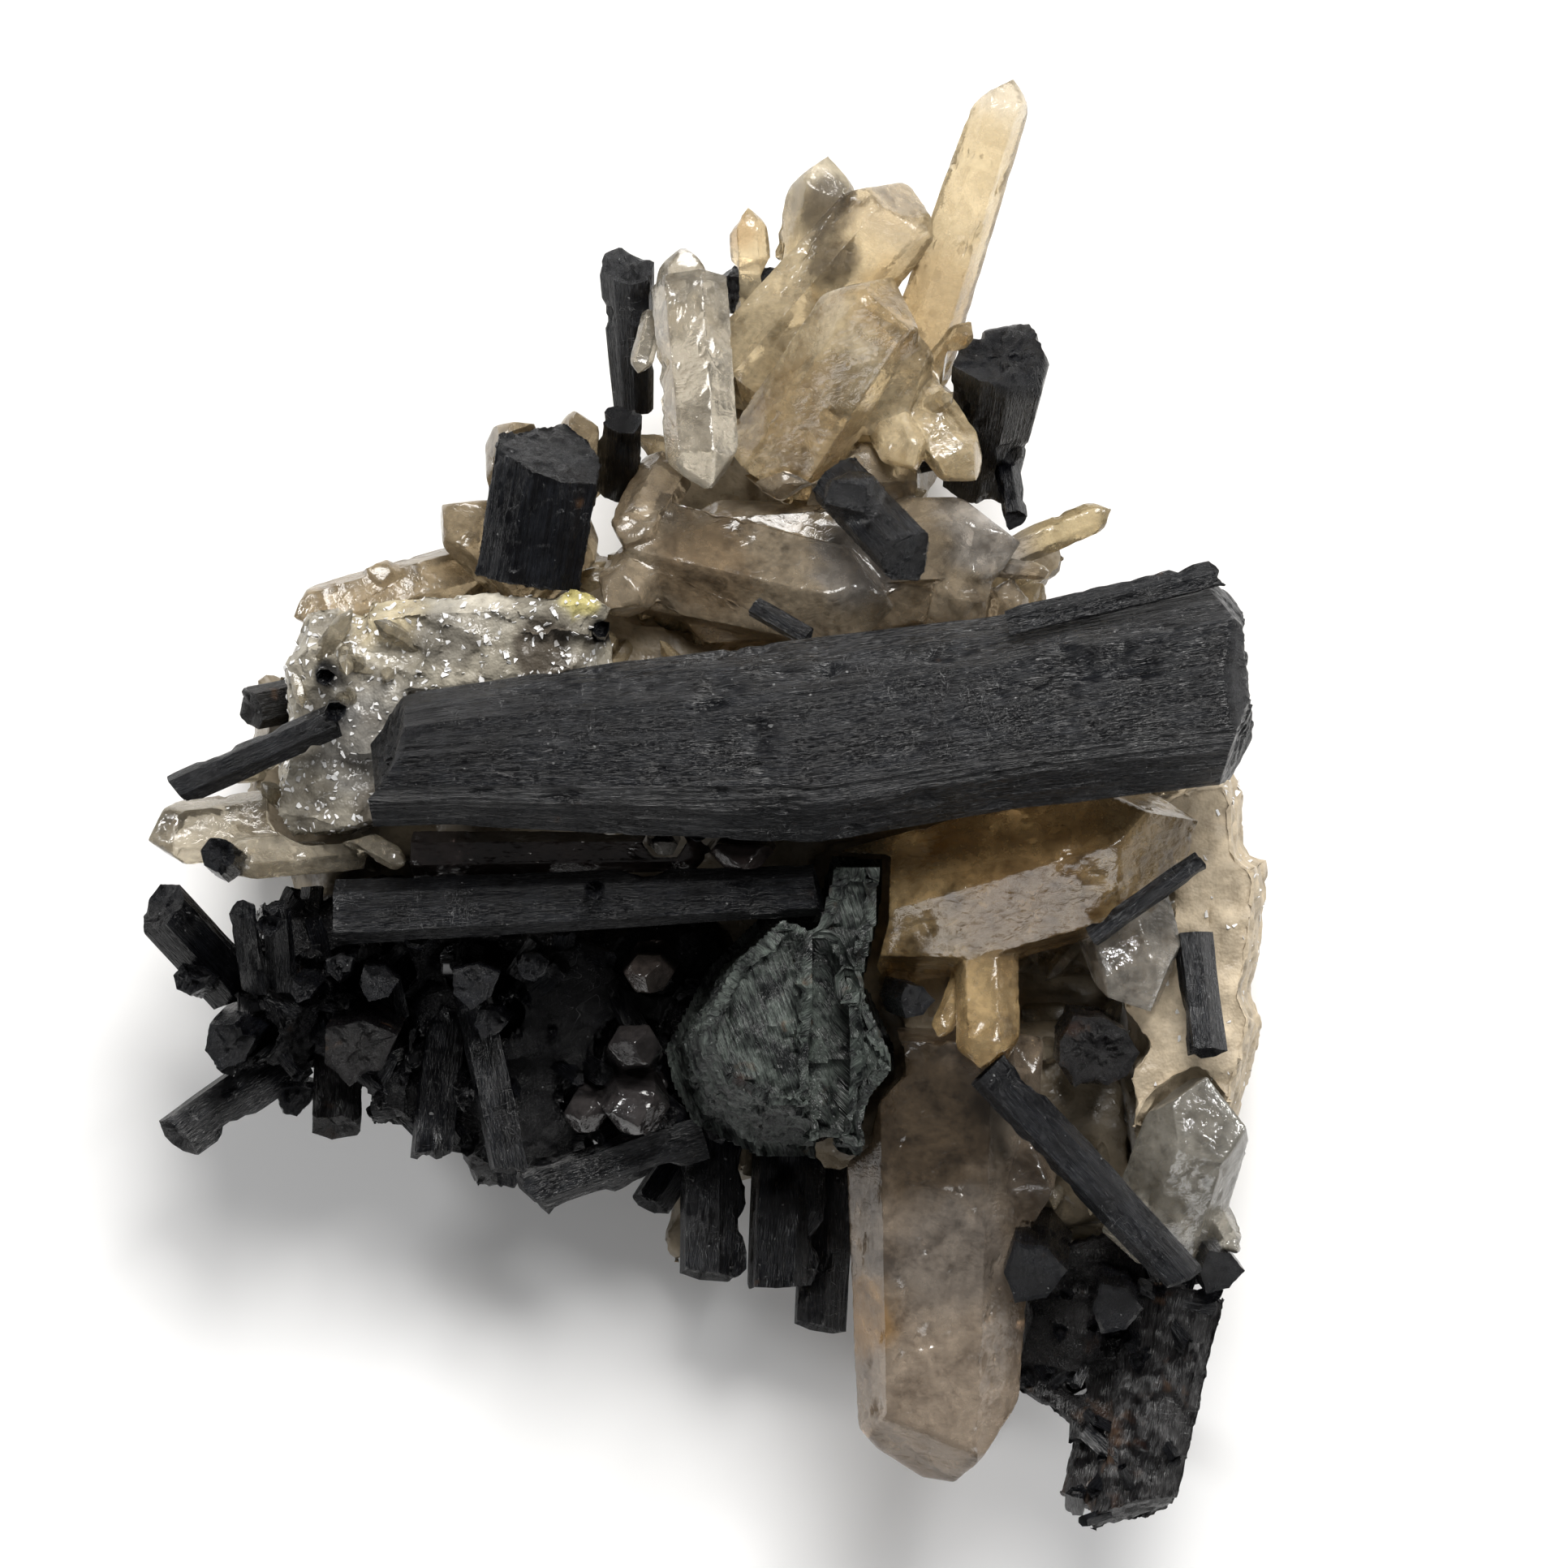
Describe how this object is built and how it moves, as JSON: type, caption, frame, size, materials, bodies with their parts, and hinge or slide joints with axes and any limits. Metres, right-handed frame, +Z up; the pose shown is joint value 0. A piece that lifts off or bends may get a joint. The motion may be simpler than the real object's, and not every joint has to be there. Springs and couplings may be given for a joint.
{
  "type": "schorl on smoky quartz",
  "caption": "Mineral specimen: black striated schorl prisms grown across a jagged cluster of honey and smoky quartz points, resting on its flat broken underside.",
  "frame": {"origin": "middle of the specimen's footprint on the surface that it rests on", "axes": "+Z up out of the surface, on the side where the crystals show best; +Y towards the spray of quartz points; +X towards the broken end of the large schorl crystal"},
  "size_m": [0.0846, 0.1086, 0.0437],
  "materials": {
    "black_schorl": "glossy black, finely striated along each prism",
    "grey_schorl": "fibrous, dull grey-green",
    "honey_quartz": "glossy, cloudy, honey-coloured",
    "smoky_quartz": "glossy, cloudy, smoky brown",
    "pale_quartz": "glossy, half clear, pale",
    "mica_quartz": "frosted quartz with sparkling mica",
    "feldspar": "dull, cream to peach, with dark layers",
    "matrix_quartz": "broken, dull to glassy"
  },
  "bodies": {
    "root": {"bottom_schorl_1": "black_schorl", "bottom_schorl_2": "black_schorl", "bottom_schorl_3": "black_schorl", "bottom_schorl_4": "black_schorl", "centre_quartz": "smoky_quartz", "cluster_schorl_01": "black_schorl", "cluster_schorl_02": "black_schorl", "cluster_schorl_03": "black_schorl", "cluster_schorl_04": "black_schorl", "cluster_schorl_05": "black_schorl", "cluster_schorl_06": "black_schorl", "cluster_schorl_07": "black_schorl", "cluster_schorl_08": "black_schorl", "cluster_schorl_09": "black_schorl", "cluster_schorl_10": "black_schorl", "cluster_schorl_11": "black_schorl", "cluster_schorl_12": "black_schorl", "cluster_schorl_13": "black_schorl", "cluster_schorl_14": "black_schorl", "diagonal_schorl": "black_schorl", "far_left_schorl": "black_schorl", "feldspar_edge": "feldspar", "front_quartz": "honey_quartz", "grey_schorl_block": "grey_schorl", "large_schorl": "black_schorl", "left_slope_quartz": "honey_quartz", "left_tip_quartz": "pale_quartz", "long_lower_schorl": "black_schorl", "lower_hex_schorl_1": "black_schorl", "lower_hex_schorl_2": "black_schorl", "lower_hex_schorl_3": "black_schorl", "lower_quartz_point": "smoky_quartz", "lower_right_quartz": "pale_quartz", "lower_right_schorl": "black_schorl", "mica_quartz_ledge": "mica_quartz", "middle_schorl": "black_schorl", "quartz_matrix": "matrix_quartz", "right_edge_schorl": "black_schorl", "right_pale_quartz": "pale_quartz", "right_small_schorl": "black_schorl", "right_tan_quartz": "honey_quartz", "round_end_schorl": "black_schorl", "schorl_mass": "black_schorl", "second_schorl": "black_schorl", "shadow_quartz_1": "smoky_quartz", "shadow_quartz_2": "smoky_quartz", "shiny_end_schorl": "black_schorl", "side_rod_schorl": "black_schorl", "small_clear_quartz": "pale_quartz", "small_upper_schorl": "black_schorl", "thin_left_schorl": "black_schorl", "tiny_red_schorl": "black_schorl", "top_left_schorl": "black_schorl", "top_quartz_spray": "honey_quartz", "top_right_schorl": "black_schorl", "top_rough_schorl": "black_schorl", "trapezoid_quartz": "smoky_quartz", "upper_left_schorl": "black_schorl"}
  },
  "joints": []
}
